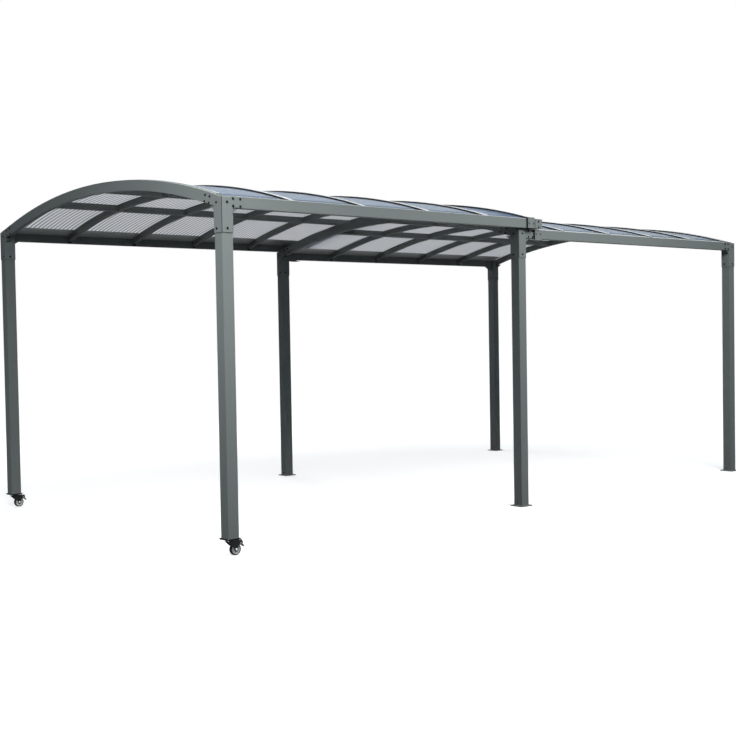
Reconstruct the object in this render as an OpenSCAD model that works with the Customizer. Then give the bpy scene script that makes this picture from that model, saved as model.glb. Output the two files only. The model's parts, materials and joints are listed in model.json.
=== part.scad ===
// Sliding canopy gazebo. A fixed canopy stands on four posts, and a moving canopy of the same form rolls
// over it on two casters and two track rollers. It is drawn fully out. +X runs from the moving canopy to
// the fixed one, +Y to the rear and +Z up. The origin is on the ground, at the middle of the outline.

/* [Fixed canopy] */
// Length over the fixed posts
fixed_length = 3035; // [2600:5:3700]
// Width over the fixed posts
fixed_width = 3020; // [2500:10:3700]
// Height of the top of the fixed eave beams
fixed_eave_height = 2125; // [1900:5:2600]

/* [Moving canopy] */
// Length of the moving roof
moving_length = 2980; // [2600:5:3700]
// Length of the moving roof that laps over the fixed one when it is drawn out
roof_lap = 235; // [200:5:400]
// Distance by which the moving posts stand outside the fixed ones on each side
side_step = 28; // [20:1:50]
// Height of the crown of the moving arches above their ends
roof_rise = 235; // [150:5:400]
// Space between the two canopies
roof_gap = 5; // [5:1:15]

/* [Posts] */
// Width of a post
post_width = 80; // [60:1:120]
// Wall thickness of posts, beams and arches
wall = 2; // [1.5:0.5:4]
// Width of a base plate
base_width = 124; // [110:2:180]
// Thickness of a base plate
base_thickness = 6; // [4:1:12]
// Distance between the anchor holes of a base plate
anchor_pitch = 102; // [96:1:150]
// Radius of an anchor hole
anchor_hole_r = 5; // [3:0.5:6]

/* [Beams and arches] */
// Depth of an eave beam
beam_depth = 70; // [50:1:100]
// Width of a fixed eave beam
fixed_beam_width = 60; // [50:1:80]
// Width of a moving eave beam
moving_beam_width = 50; // [40:1:60]
// Depth of an end arch
arch_depth = 70; // [50:1:100]
// Width of an end arch
arch_width = 36; // [36:1:80]
// Height of an eave beam's top above the outer end of its arch
arch_drop = 7; // [0:1:10]

/* [Roof] */
// Number of roof panels on each canopy
bays = 5; // [3:1:7]
// Length by which the end bays of the fixed roof are shorter than its other bays
fixed_end_cut = 0; // [0:5:80]
// Length by which the end bays of the moving roof are shorter than its other bays
moving_end_cut = 50; // [0:5:80]
// Thickness of a roof panel
panel_thickness = 6; // [4:1:10]
// Width of a rafter
rafter_width = 30; // [20:1:50]
// Depth of a rafter
rafter_depth = 45; // [35:1:45]
// Width of a purlin
purlin_width = 40; // [20:1:60]
// Depth of a purlin
purlin_depth = 45; // [20:1:45]
// Distance of the outer purlins from the crown
purlin_pitch = 680; // [400:10:900]
// Width of a glazing cap
cap_width = 34; // [20:1:50]
// Height of a glazing cap
cap_height = 14; // [10:1:20]
// Distance of a cap's ends from the eave
cap_setback = 38; // [20:1:60]
// Width of an eave strip, measured across the roof
eave_strip_width = 96; // [70:1:140]
// Width of an eave liner, measured across the roof
liner_width = 128; // [60:1:200]
// Thickness of an eave liner
liner_thickness = 3; // [2:0.5:6]

/* [Corner brackets] */
// Height of the sleeve around a post
sleeve_height = 220; // [160:5:300]
// Plate thickness of brackets and guides
plate = 4; // [3:0.5:6]
// Length of the flanges on beams
flange_length = 75; // [60:1:120]
// Length of the flanges on arches, past a post's sleeve
arch_flange_length = 100; // [60:1:140]
// Reach of the gusset below a beam
gusset_reach = 48; // [20:1:80]
// Height of the gusset below a beam
gusset_height = 28; // [15:1:50]

/* [Guides and track rollers] */
// Length of a guide plate
guide_length = 78; // [60:1:100]
// Distance of a guide plate's outer face from its beam
guide_standoff = 18; // [12:1:22]
// Distance by which a guide plate is taller than its beam
guide_rise = 12; // [8:1:20]
// Distance of the moving guide from the free end of the moving canopy
guide_inset = 97; // [90:1:160]
// Space between the fixed guide and the corner bracket beside it
fixed_guide_space = 13; // [5:1:100]
// Radius of a track roller
roller_r = 20; // [15:1:25]
// Width of a track roller
roller_width = 13; // [8:1:14]
// Radius of a track roller's axle
roller_axle_r = 4; // [3:0.5:6]
// Space between a track roller and the side of its beam
roller_space = 1; // [0.5:0.5:3]

/* [Casters] */
// Radius of a caster wheel
wheel_r = 37.5; // [30:0.5:50]
// Width of a caster wheel
wheel_width = 24; // [18:1:32]
// Distance between a caster's swivel axis and its axle
caster_trail = 35; // [25:1:45]
// Height of a caster, from the ground to the top of its plate
caster_height = 106; // [104:1:140]
// Width of a caster's plate
caster_plate_width = 94; // [80:1:110]
// Width of the foot plate of a moving post
foot_plate_width = 100; // [90:1:120]
// Radius of a caster's axle bolt
axle_r = 4; // [3:0.5:6]
// Radius of a caster's kingpin
kingpin_r = 6; // [4:0.5:8]
// Radius of the swivel race
race_r = 28; // [22:1:35]
// Distance of the brake pivot behind the axle
brake_pivot_reach = 34; // [30:1:40]
// Height of the brake pivot above the axle
brake_pivot_rise = 35; // [32:1:40]

/* [Hidden] */

frame_colour = "#6b7573";
panel_colour = "#9aa0b8";
black = "#222426";
steel = "#b8bcbd";

// Clearances
seat = 0.3;
running = 0.05;
step_clearance = 5;
joint_gap = 6;
eps = 1;

// Corner radii
post_radius = 3;
plate_radius = 6;

// Seam down the outer corner of a sleeve, and the notch at its lower end
seam_width = 4;
seam_depth = 2.5;
seam_notch = 5;

// Whole canopies. Half widths are measured to the outer faces of the posts
moving_width = fixed_width + 2 * side_step;
fixed_half = fixed_width / 2;
moving_half = moving_width / 2;
base_overhang = (base_width - post_width) / 2;
foot_overhang = (foot_plate_width - post_width) / 2;
overall_length = foot_overhang + moving_length - roof_lap + fixed_length + base_overhang;
moving_left_x = -overall_length / 2 + foot_overhang;
moving_right_x = moving_left_x + moving_length;
fixed_left_x = moving_right_x - roof_lap;
fixed_right_x = fixed_left_x + fixed_length;

// Eave beams
moving_beam_bottom = fixed_eave_height + roof_gap;
moving_eave_height = moving_beam_bottom + beam_depth;
fixed_beam_bottom = fixed_eave_height - beam_depth;

// Roof surfaces, all concentric about one axis along X
arch_end_z = moving_eave_height - arch_drop;
moving_arch_r = (pow(moving_half, 2) + pow(roof_rise, 2)) / (2 * roof_rise);
roof_axis_z = arch_end_z + roof_rise - moving_arch_r;
fixed_arch_r = moving_arch_r - arch_depth - roof_gap;
cap_above_arch = 6;
strip_above_panel = 2;
moving_cap_r = moving_arch_r + cap_above_arch;
fixed_cap_r = fixed_arch_r;
roof_fn = 720;

// The fixed eave strip starts inside the moving beam, so that the moving beam passes over the fixed one
fixed_strip_edge = moving_half - moving_beam_width - step_clearance;
// Inner faces of the beams, where rafters and panels end
fixed_roof_half = fixed_half - fixed_beam_width;
moving_roof_half = moving_half - moving_beam_width;
// Length from a post's outer face to the inner side of its bracket's sleeve
sleeve_end = post_width + plate;

function roof_z(r, y) = roof_axis_z + sqrt(r * r - y * y);
function panel_top_r(cap_r) = cap_r - cap_height;
function panel_bottom_r(cap_r) = panel_top_r(cap_r) - panel_thickness;
// Middle of rafter number i, counted from the left arch, where end bays are shorter by end_cut
function rafter_x(left, length, end_cut, i) =
    left + arch_width / 2 + (
        i == 0 ? 0 :
        i == bays ? length - arch_width :
        i * (length - arch_width + 2 * end_cut) / bays - end_cut);

// ---- general shapes ----

module rounded_square(w, h, r) {
    translate([r, 0]) square([w - 2 * r, h]);
    translate([0, r]) square([w, h - 2 * r]);
    for (x = [r, w - r], y = [r, h - r]) translate([x, y]) circle(r = r, $fn = 24);
}

// Draws a Y-Z outline and extrudes it along +X
module along_x(x, length) {
    translate([x, 0, 0]) rotate([90, 0, 90]) linear_extrude(height = length) children();
}

// Draws an X-Z outline and extrudes it along +Y
module along_y(y, length) {
    translate([0, y + length, 0]) rotate([90, 0, 0]) linear_extrude(height = length) children();
}

// Y-Z outline of the roof between two radii and between two widths
module roof_ring(inner_r, outer_r, y_from, y_to) {
    lowest = min(roof_z(inner_r, y_from), roof_z(inner_r, y_to)) - 2 * arch_depth;
    highest = roof_axis_z + outer_r + eps;
    intersection() {
        translate([y_from, lowest]) square([y_to - y_from, highest - lowest]);
        difference() {
            translate([0, roof_axis_z]) circle(r = outer_r, $fn = roof_fn);
            translate([0, roof_axis_z]) circle(r = inner_r, $fn = roof_fn);
        }
    }
}

// Curved bar over the roof
module roof_bar(x, width, inner_r, outer_r, half) {
    along_x(x, width) roof_ring(inner_r, outer_r, -half, half);
}

// Curved hollow bar, open at its ends
module roof_tube(x, width, inner_r, outer_r, half) {
    difference() {
        roof_bar(x, width, inner_r, outer_r, half);
        roof_bar(x + wall, width - 2 * wall, inner_r + wall, outer_r - wall, half + eps);
    }
}

// Hollow beam along X, with its outer face at y = 0 and its body towards +Y
module beam_tube(x_from, x_to, width, bottom) {
    along_x(x_from, x_to - x_from) difference() {
        translate([0, bottom]) rounded_square(width, beam_depth, wall);
        translate([wall, bottom + wall]) square([width - 2 * wall, beam_depth - 2 * wall]);
    }
}

// Puts a shape, drawn for the front with its outer face at y = 0, on the front (side = -1) or rear
module on_side(side, half) {
    mirror([0, side > 0 ? 1 : 0, 0]) translate([0, -half, 0]) children();
}

// Puts a shape, drawn for a left corner with its outer faces at x = 0 and y = 0, on any corner
module on_corner(x, right, side, half) {
    on_side(side, half) translate([x, 0, 0]) mirror([right ? 1 : 0, 0, 0]) children();
}

// ---- posts ----

module post_tube(bottom, top) {
    translate([0, 0, bottom]) linear_extrude(height = top - bottom) difference() {
        rounded_square(post_width, post_width, post_radius);
        translate([wall, wall]) square(post_width - 2 * wall);
    }
}

module fixed_post(x, right, side) {
    color(frame_colour) on_corner(x, right, side, fixed_half) {
        post_tube(base_thickness, fixed_eave_height - arch_drop - plate);
        difference() {
            translate([-base_overhang, -base_overhang, 0])
                linear_extrude(height = base_thickness) rounded_square(base_width, base_width, plate_radius);
            for (dx = [-1, 1], dy = [-1, 1])
                translate([(post_width + dx * anchor_pitch) / 2, (post_width + dy * anchor_pitch) / 2, -eps])
                    cylinder(r = anchor_hole_r, h = base_thickness + 2 * eps, $fn = 32);
        }
    }
}

// A moving post ends in a foot plate, which a caster is bolted to
module moving_post(side) {
    color(frame_colour) on_corner(moving_left_x, false, side, moving_half) {
        post_tube(caster_height + plate, arch_end_z - plate);
        translate([-foot_overhang, -foot_overhang, caster_height]) linear_extrude(height = plate)
            rounded_square(foot_plate_width, foot_plate_width, plate_radius);
    }
}

// ---- corner brackets ----

// Flanges on the outer and inner faces of a beam. The outer one starts inside the sleeve's rounded
// corner, and the inner one stays below the roof panels
module beam_flanges(beam_width, top, half, cap_r) {
    start = sleeve_end - post_radius - plate;
    end = sleeve_end + flange_length;
    bottom = top - beam_depth + plate / 2;
    panel_bottom = roof_z(panel_bottom_r(cap_r), half - beam_width);
    translate([start, -plate, bottom]) cube([end - start, plate, beam_depth - plate]);
    translate([post_width + seat, beam_width, bottom])
        cube([end - post_width - seat, plate, min(top - plate / 2, panel_bottom - seat) - bottom]);
}

// Flanges on both faces of an end arch, drawn with the roof's middle at y = half. The inner flange
// stays below the roof panels
module arch_flanges(outer_start, inner_start, end, half, arch_r, cap_r) {
    inner_r = arch_r - arch_depth + plate / 2;
    translate([0, half, 0]) {
        along_x(-plate, plate) roof_ring(inner_r, arch_r - plate / 2, outer_start - half, end - half);
        along_x(arch_width, plate)
            roof_ring(inner_r, panel_bottom_r(cap_r) - seat, inner_start - half, end - half);
    }
}

module gusset_outline(height_top) {
    polygon([[0, height_top], [gusset_reach, height_top], [0, height_top - gusset_height]]);
}

// Cut down the outer corner, where the plates of a sleeve meet
module sleeve_seam(bottom) {
    translate([post_radius, post_radius, bottom]) rotate([0, 0, 45])
        translate([-post_radius - plate - eps, 0, 0]) {
            translate([0, -seam_width / 2, -eps])
                cube([eps + seam_depth, seam_width, sleeve_height + 2 * beam_depth]);
            rotate([0, 90, 0]) cylinder(r = seam_notch, h = eps + seam_depth, $fn = 4);
        }
}

// Three-way bracket: a closed sleeve around the post's head, with flanges for the beam and the arch
module corner_bracket(half, beam_width, top, arch_r, cap_r, running_face) {
    outer = post_width + 2 * plate;
    arch_under = roof_z(arch_r - arch_depth, sleeve_end - half);
    difference() {
        translate([-plate, -plate, top - sleeve_height])
            linear_extrude(height = sleeve_height + 2 * beam_depth)
                rounded_square(outer, outer, post_radius + plate);
        // room for the post, closed over its top
        translate([0, 0, top - sleeve_height - eps])
            linear_extrude(height = sleeve_height + eps - arch_drop - plate)
                rounded_square(post_width, post_width, post_radius);
        // the top follows the roof
        translate([0, half, 0]) along_x(-2 * plate, outer + 2 * plate) difference() {
            translate([-half - 2 * plate, top - beam_depth])
                square([outer + 2 * plate, 4 * beam_depth]);
            translate([0, roof_axis_z]) circle(r = arch_r, $fn = roof_fn);
        }
        // the outer edge stays below the canopy that runs over it
        translate([-2 * plate, -2 * plate, top])
            cube([outer + 2 * plate, 2 * plate + running_face, 2 * beam_depth]);
        sleeve_seam(top - sleeve_height);
    }
    beam_flanges(beam_width, top, half, cap_r);
    arch_flanges(sleeve_end - post_radius - plate, post_width + seat, sleeve_end + arch_flange_length,
        half, arch_r, cap_r);
    translate([sleeve_end, 0, 0]) along_y(plate, beam_width - 2 * plate)
        gusset_outline(top - beam_depth);
    translate([0, sleeve_end, 0]) along_x(plate, arch_width - 2 * plate) gusset_outline(arch_under);
}

module fixed_bracket(x, right, side) {
    color(frame_colour) on_corner(x, right, side, fixed_half)
        corner_bracket(fixed_half, fixed_beam_width, fixed_eave_height, fixed_arch_r, fixed_cap_r,
            fixed_half - fixed_strip_edge);
}

module moving_bracket(side) {
    color(frame_colour) on_corner(moving_left_x, false, side, moving_half)
        corner_bracket(moving_half, moving_beam_width, moving_eave_height, moving_arch_r,
            moving_cap_r, 0);
}

// Two-way bracket at the free end of the moving canopy, where no post stands
module end_bracket(side) {
    color(frame_colour) on_corner(moving_right_x, true, side, moving_half) {
        translate([-plate, -plate, moving_beam_bottom])
            cube([flange_length + plate, plate, beam_depth + plate]);
        translate([-plate, 0, moving_beam_bottom])
            cube([plate, moving_beam_width, beam_depth + plate]);
        translate([0, 0, moving_eave_height])
            cube([arch_width, moving_beam_width, plate]);
        arch_flanges(moving_beam_width, moving_beam_width, moving_beam_width + flange_length,
            moving_half, moving_arch_r, moving_cap_r);
        translate([arch_width, moving_beam_width, moving_beam_bottom + plate])
            cube([flange_length - arch_width, plate, beam_depth / 2]);
    }
}

// ---- beams ----

module fixed_beam(side) {
    color(frame_colour) on_side(side, fixed_half)
        beam_tube(fixed_left_x + sleeve_end, fixed_right_x - sleeve_end, fixed_beam_width,
            fixed_beam_bottom);
}

// Places of the moving guide and of the roller below it
guide_x = moving_right_x - guide_inset - guide_length;
roller_x = guide_x + guide_length / 2;
roller_z = fixed_eave_height + seat + roller_r;
roller_slot = 2 * roller_r + 2 * step_clearance;
roller_y = moving_beam_width - wall - roller_space - roller_width;

module moving_beam(side) {
    color(frame_colour) on_side(side, moving_half) difference() {
        beam_tube(moving_left_x + sleeve_end, moving_right_x, moving_beam_width, moving_beam_bottom);
        translate([roller_x - roller_slot / 2, wall, moving_beam_bottom - eps])
            cube([roller_slot, moving_beam_width - 2 * wall, wall + 2 * eps]);
        translate([roller_x, -eps, roller_z]) rotate([-90, 0, 0])
            cylinder(r = roller_axle_r + running, h = moving_beam_width + 2 * eps, $fn = 32);
    }
}

// ---- arches and roof ----

module end_arch(x, arch_r, half) {
    color(frame_colour) roof_tube(x, arch_width, arch_r - arch_depth, arch_r, half);
}

fixed_arch_half = fixed_half - sleeve_end;
moving_arch_half = moving_half - sleeve_end;

module rafters(left, length, end_cut, cap_r, half) {
    outer_r = panel_bottom_r(cap_r);
    color(frame_colour) for (i = [1 : bays - 1])
        roof_tube(rafter_x(left, length, end_cut, i) - rafter_width / 2, rafter_width,
            outer_r - rafter_depth, outer_r, half);
}

// Purlins run between rafters, so each bay holds its own lengths
module purlins(left, length, end_cut, cap_r) {
    outer_r = panel_bottom_r(cap_r);
    top = sqrt(pow(outer_r, 2) - pow(purlin_width / 2, 2));
    color(frame_colour) for (bay = [0 : bays - 1], row = [-1 : 1]) {
        from = rafter_x(left, length, end_cut, bay) + (bay == 0 ? arch_width : rafter_width) / 2;
        to = rafter_x(left, length, end_cut, bay + 1)
            - (bay == bays - 1 ? arch_width : rafter_width) / 2;
        angle = asin(row * purlin_pitch / outer_r);
        translate([0, 0, roof_axis_z]) rotate([-angle, 0, 0])
            along_x(from, to - from) difference() {
                translate([-purlin_width / 2, top - purlin_depth]) square([purlin_width, purlin_depth]);
                translate([-purlin_width / 2 + wall, top - purlin_depth + wall])
                    square([purlin_width - 2 * wall, purlin_depth - 2 * wall]);
            }
    }
}

// One sheet for each bay. Neighbours meet over a rafter and the end sheets meet the arches, where they
// are notched around the sleeves that stand arch_half from the middle
module roof_panels(left, length, end_cut, cap_r, half, arch_half, right_sleeves) {
    outer_r = panel_top_r(cap_r);
    notch = sleeve_end + seat;
    notch_y = arch_half - seat;
    color(panel_colour) for (bay = [0 : bays - 1]) {
        from = rafter_x(left, length, end_cut, bay) + (bay == 0 ? arch_width : joint_gap) / 2;
        to = rafter_x(left, length, end_cut, bay + 1)
            - (bay == bays - 1 ? arch_width : joint_gap) / 2;
        difference() {
            roof_bar(from, to - from, outer_r - panel_thickness + seat, outer_r - seat, half);
            for (x = right_sleeves ? [left, left + length - notch] : [left], side = [0, 1])
                mirror([0, side, 0]) translate([x - eps, notch_y, 0])
                    cube([notch + (x > left ? 2 : 1) * eps, half, 2 * moving_eave_height]);
        }
    }
}

// Caps over the joints, and narrower ones where the end sheets meet the arches, which stay between the
// sleeves that stand arch_half from the middle. Where they lie on the eave strips, the room for the
// strips is cut out of them, which is the children
module glazing_caps(left, length, end_cut, cap_r, half, arch_half) {
    inner_r = panel_top_r(cap_r);
    end_half = min(half, arch_half);
    color(frame_colour) difference() {
        union() {
            for (i = [1 : bays - 1])
                roof_bar(rafter_x(left, length, end_cut, i) - cap_width / 2, cap_width, inner_r, cap_r,
                    half);
            roof_bar(left + arch_width, cap_width / 2, inner_r, cap_r, end_half);
            roof_bar(left + length - arch_width - cap_width / 2, cap_width / 2, inner_r, cap_r,
                end_half);
        }
        children();
    }
}

// Raised strips on the moving end arches, beside the outermost caps
module arch_ridges(left, length) {
    color(frame_colour) for (x = [left + arch_width - cap_width / 2, left + length - arch_width])
        roof_bar(x, cap_width / 2, moving_arch_r, moving_cap_r, moving_arch_half);
}

// Outer and inner end of an eave strip's top, on the front
function strip_top(edge, beam_top, cap_r) =
    let(inner = edge - eave_strip_width)
    [[-edge, beam_top + plate], [-inner, roof_z(panel_top_r(cap_r) + strip_above_panel, inner)]];

// Strip that closes the eave, from the top of a beam up over the panels' ends
module eave_strip(x_from, x_to, edge, roof_half, beam_top, cap_r) {
    inner = edge - eave_strip_width;
    seat_r = panel_top_r(cap_r);
    for (side = [-1, 1]) on_side(side, 0)
        along_x(x_from, x_to - x_from) polygon(concat(
            [[-edge, beam_top]],
            strip_top(edge, beam_top, cap_r),
            [
                [-inner, roof_z(seat_r, inner)],
                [-roof_half, max(beam_top, roof_z(seat_r, roof_half))],
                [-roof_half, beam_top]
            ]
        ));
}

// Everything below the top of the eave strips, which the caps are cut out for
module strip_room(x_from, x_to, edge, beam_top, cap_r) {
    inner = edge - eave_strip_width;
    bottom = beam_top - beam_depth;
    for (side = [-1, 1]) on_side(side, 0)
        along_x(x_from, x_to - x_from)
            polygon(concat([[-edge, bottom]], strip_top(edge, beam_top, cap_r), [[-inner, bottom]]));
}

// Liners close the eave from below. They lie under the panels, between the rafters and sleeves
module eave_liners(left, length, end_cut, cap_r, roof_half) {
    outer_r = panel_bottom_r(cap_r);
    edge = roof_half - plate - seat;
    first = left + sleeve_end + seat;
    last = left + length - sleeve_end - seat;
    for (bay = [0 : bays - 1], side = [-1, 1]) {
        from = max(first, rafter_x(left, length, end_cut, bay) + rafter_width / 2);
        to = min(last, rafter_x(left, length, end_cut, bay + 1) - rafter_width / 2);
        on_side(side, 0) along_x(from, to - from)
            roof_ring(outer_r - liner_thickness, outer_r, -edge, liner_width - edge);
    }
}

// ---- guides and track rollers ----

// Channel that stands off a beam's outer face
module guide_channel(standoff, bottom, top, flange_bottom, flange_top) {
    translate([0, -standoff, bottom]) cube([guide_length, plate, top - bottom]);
    for (x = [0, guide_length - plate])
        translate([x, -standoff + plate, flange_bottom])
            cube([plate, standoff - plate, flange_top - flange_bottom]);
}

module moving_guide(side) {
    color(frame_colour) on_side(side, moving_half) translate([guide_x, 0, 0]) {
        guide_channel(guide_standoff, moving_beam_bottom, moving_eave_height + guide_rise,
            moving_beam_bottom, moving_eave_height + guide_rise);
    }
}

// The fixed guide also turns in below its beam
module fixed_guide(side) {
    top = fixed_eave_height - step_clearance;
    bottom = fixed_beam_bottom - guide_rise;
    x = fixed_left_x + sleeve_end + flange_length + fixed_guide_space;
    color(frame_colour) on_side(side, fixed_half) translate([x, 0, 0]) {
        guide_channel(guide_standoff, bottom, top, fixed_beam_bottom, top);
        translate([0, -guide_standoff + plate, bottom])
            cube([guide_length, guide_standoff + fixed_beam_width / 2 - plate, plate]);
    }
}

// Two rollers that carry the free end of the moving canopy on the fixed beams
module track_rollers() {
    color(steel) for (side = [-1, 1]) on_side(side, moving_half) {
        translate([roller_x, roller_y, roller_z]) rotate([-90, 0, 0])
            cylinder(r = roller_r, h = roller_width, $fn = 64);
        translate([roller_x, -guide_standoff + plate, roller_z]) rotate([-90, 0, 0])
            cylinder(r = roller_axle_r, h = moving_beam_width + guide_standoff - plate, $fn = 32);
    }
}

// ---- casters ----

race_height = 4;
fork_plate = 3;
fork_gap = 2;
fork_inside = wheel_width + 2 * fork_gap;
// The plate and its upper race end at plate_bottom and race_top, the fork and its lower race below them
plate_bottom = caster_height - plate;
race_top = plate_bottom - race_height - seat;
crown_top = race_top - race_height;
crown_bottom = crown_top - fork_plate;
bolt_head = 3;
fork_ear_r = 12;
brake_lever_width = 18;
brake_pin_r = 3;

// Puts a shape, drawn about the swivel axis, below a moving post
module on_caster(side) {
    on_side(side, moving_half) translate([moving_left_x + post_width / 2, post_width / 2, 0]) children();
}

// Plate that is bolted under a foot plate, with the upper race
module caster_plate(side) {
    color(steel) on_caster(side) difference() {
        union() {
            translate([-caster_plate_width / 2, -caster_plate_width / 2, plate_bottom])
                linear_extrude(height = plate)
                    rounded_square(caster_plate_width, caster_plate_width, plate_radius);
            translate([0, 0, plate_bottom - race_height])
                cylinder(r = race_r, h = race_height + eps, $fn = 48);
        }
        translate([0, 0, plate_bottom - race_height - eps])
            cylinder(r = kingpin_r + running, h = plate + race_height + 2 * eps, $fn = 32);
    }
}

// Cheek of the fork, from the crown down to the axle and back to the brake pin
module fork_outline() {
    ear_x = caster_trail + brake_pivot_reach;
    ear_z = wheel_r + brake_pivot_rise;
    difference() {
        union() {
            polygon([
                [-race_r, crown_top],
                [race_r, crown_top],
                [ear_x, ear_z + fork_ear_r],
                [ear_x, ear_z - fork_ear_r],
                [caster_trail + fork_ear_r, wheel_r],
                [caster_trail - fork_ear_r, wheel_r]
            ]);
            translate([caster_trail, wheel_r]) circle(r = fork_ear_r, $fn = 32);
            translate([ear_x, ear_z]) circle(r = fork_ear_r, $fn = 32);
        }
        translate([ear_x, ear_z]) circle(r = brake_pin_r + running, $fn = 32);
    }
}

// Fork with its crown, lower race, kingpin and axle bolt
module caster_fork(side) {
    color(black) on_caster(side) {
        for (y = [-fork_inside / 2 - fork_plate, fork_inside / 2])
            along_y(y, fork_plate) fork_outline();
        translate([-race_r, -fork_inside / 2, crown_bottom])
            cube([2 * race_r, fork_inside, fork_plate]);
        translate([0, 0, crown_top - eps])
            cylinder(r = race_r, h = race_height + eps, $fn = 48);
        translate([0, 0, crown_top - eps])
            cylinder(r = kingpin_r, h = caster_height - crown_top, $fn = 32);
        translate([caster_trail, -fork_inside / 2 - fork_plate - bolt_head, wheel_r])
            rotate([-90, 0, 0])
                cylinder(r = axle_r, h = fork_inside + 2 * (fork_plate + bolt_head), $fn = 32);
    }
}

module caster_wheel(side) {
    color(steel) on_caster(side) translate([caster_trail, -wheel_width / 2, wheel_r])
        rotate([-90, 0, 0]) difference() {
            cylinder(r = wheel_r, h = wheel_width, $fn = 96);
            translate([0, 0, -eps])
                cylinder(r = axle_r + running, h = wheel_width + 2 * eps, $fn = 32);
        }
}

// Foot lever of the wheel brake, turning on a pin between the cheeks
module brake_pedal(side) {
    hub_r = 6;
    tip_x = 30;
    tip_z = -20;
    pin_length = fork_inside + 2 * (fork_plate + bolt_head);
    color(black) on_caster(side)
        translate([caster_trail + brake_pivot_reach, 0, wheel_r + brake_pivot_rise]) {
            along_y(-brake_lever_width / 2, brake_lever_width) {
                circle(r = hub_r, $fn = 32);
                polygon([[0, -hub_r], [tip_x - 2, tip_z - 4], [tip_x, tip_z], [hub_r / 2, hub_r]]);
            }
            along_y(-pin_length / 2, pin_length) circle(r = brake_pin_r, $fn = 32);
        }
}

fixed_post(fixed_left_x, false, -1);  // fixed_front_left_post
fixed_post(fixed_left_x, false, 1);  // fixed_rear_left_post
fixed_post(fixed_right_x, true, -1);  // fixed_front_right_post
fixed_post(fixed_right_x, true, 1);  // fixed_rear_right_post
fixed_bracket(fixed_left_x, false, -1);  // fixed_front_left_bracket
fixed_bracket(fixed_left_x, false, 1);  // fixed_rear_left_bracket
fixed_bracket(fixed_right_x, true, -1);  // fixed_front_right_bracket
fixed_bracket(fixed_right_x, true, 1);  // fixed_rear_right_bracket
fixed_beam(-1);  // fixed_front_beam
fixed_beam(1);  // fixed_rear_beam
end_arch(fixed_left_x, fixed_arch_r, fixed_arch_half);  // fixed_left_arch
end_arch(fixed_right_x - arch_width, fixed_arch_r, fixed_arch_half);  // fixed_right_arch
rafters(fixed_left_x, fixed_length, fixed_end_cut, fixed_cap_r, fixed_roof_half);  // fixed_rafters
purlins(fixed_left_x, fixed_length, fixed_end_cut, fixed_cap_r);  // fixed_purlins
roof_panels(fixed_left_x, fixed_length, fixed_end_cut, fixed_cap_r, fixed_roof_half - seat,  // fixed_roof_panels
        fixed_arch_half, true);
glazing_caps(fixed_left_x, fixed_length, fixed_end_cut, fixed_cap_r, fixed_strip_edge - cap_setback,  // fixed_glazing_caps
        fixed_arch_half) strip_room(fixed_left_x, fixed_right_x, fixed_strip_edge, fixed_eave_height,
            fixed_cap_r);
color(frame_colour) {  // fixed_eave_strips
    eave_strip(fixed_left_x + sleeve_end, fixed_right_x - sleeve_end, fixed_strip_edge,
        fixed_roof_half, fixed_eave_height, fixed_cap_r);
    eave_liners(fixed_left_x, fixed_length, fixed_end_cut, fixed_cap_r, fixed_roof_half);
}
fixed_guide(-1);  // fixed_front_guide
fixed_guide(1);  // fixed_rear_guide
moving_post(-1);  // moving_front_post
moving_post(1);  // moving_rear_post
moving_bracket(-1);  // moving_front_bracket
moving_bracket(1);  // moving_rear_bracket
end_bracket(-1);  // moving_front_end_bracket
end_bracket(1);  // moving_rear_end_bracket
moving_beam(-1);  // moving_front_beam
moving_beam(1);  // moving_rear_beam
end_arch(moving_left_x, moving_arch_r, moving_arch_half);  // moving_left_arch
end_arch(moving_right_x - arch_width, moving_arch_r, moving_roof_half);  // moving_right_arch
rafters(moving_left_x, moving_length, moving_end_cut, moving_cap_r, moving_roof_half);  // moving_rafters
purlins(moving_left_x, moving_length, moving_end_cut, moving_cap_r);  // moving_purlins
roof_panels(moving_left_x, moving_length, moving_end_cut, moving_cap_r, moving_roof_half - seat,  // moving_roof_panels
        moving_arch_half, false);
union() {  // moving_glazing_caps
    glazing_caps(moving_left_x, moving_length, moving_end_cut, moving_cap_r, moving_half - cap_setback,
        moving_arch_half) strip_room(moving_left_x, moving_right_x, moving_half, moving_eave_height,
            moving_cap_r);
    arch_ridges(moving_left_x, moving_length);
}
color(frame_colour) {  // moving_eave_strips
    eave_strip(moving_left_x + sleeve_end, moving_right_x - arch_width, moving_half, moving_roof_half,
        moving_eave_height, moving_cap_r);
    eave_liners(moving_left_x, moving_length, moving_end_cut, moving_cap_r, moving_roof_half);
}
moving_guide(-1);  // moving_front_guide
moving_guide(1);  // moving_rear_guide
track_rollers();
caster_plate(-1);  // front_caster_plate
caster_fork(-1);  // front_caster_fork
caster_wheel(-1);  // front_caster_wheel
brake_pedal(-1);  // front_brake_pedal
caster_plate(1);  // rear_caster_plate
caster_fork(1);  // rear_caster_fork
caster_wheel(1);  // rear_caster_wheel
brake_pedal(1);  // rear_brake_pedal
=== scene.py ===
"""Looks of the sliding canopy gazebo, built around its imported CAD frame. Sizes are in metres."""

import json
import math

import bmesh
import bpy
from mathutils import Matrix, Vector


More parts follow.
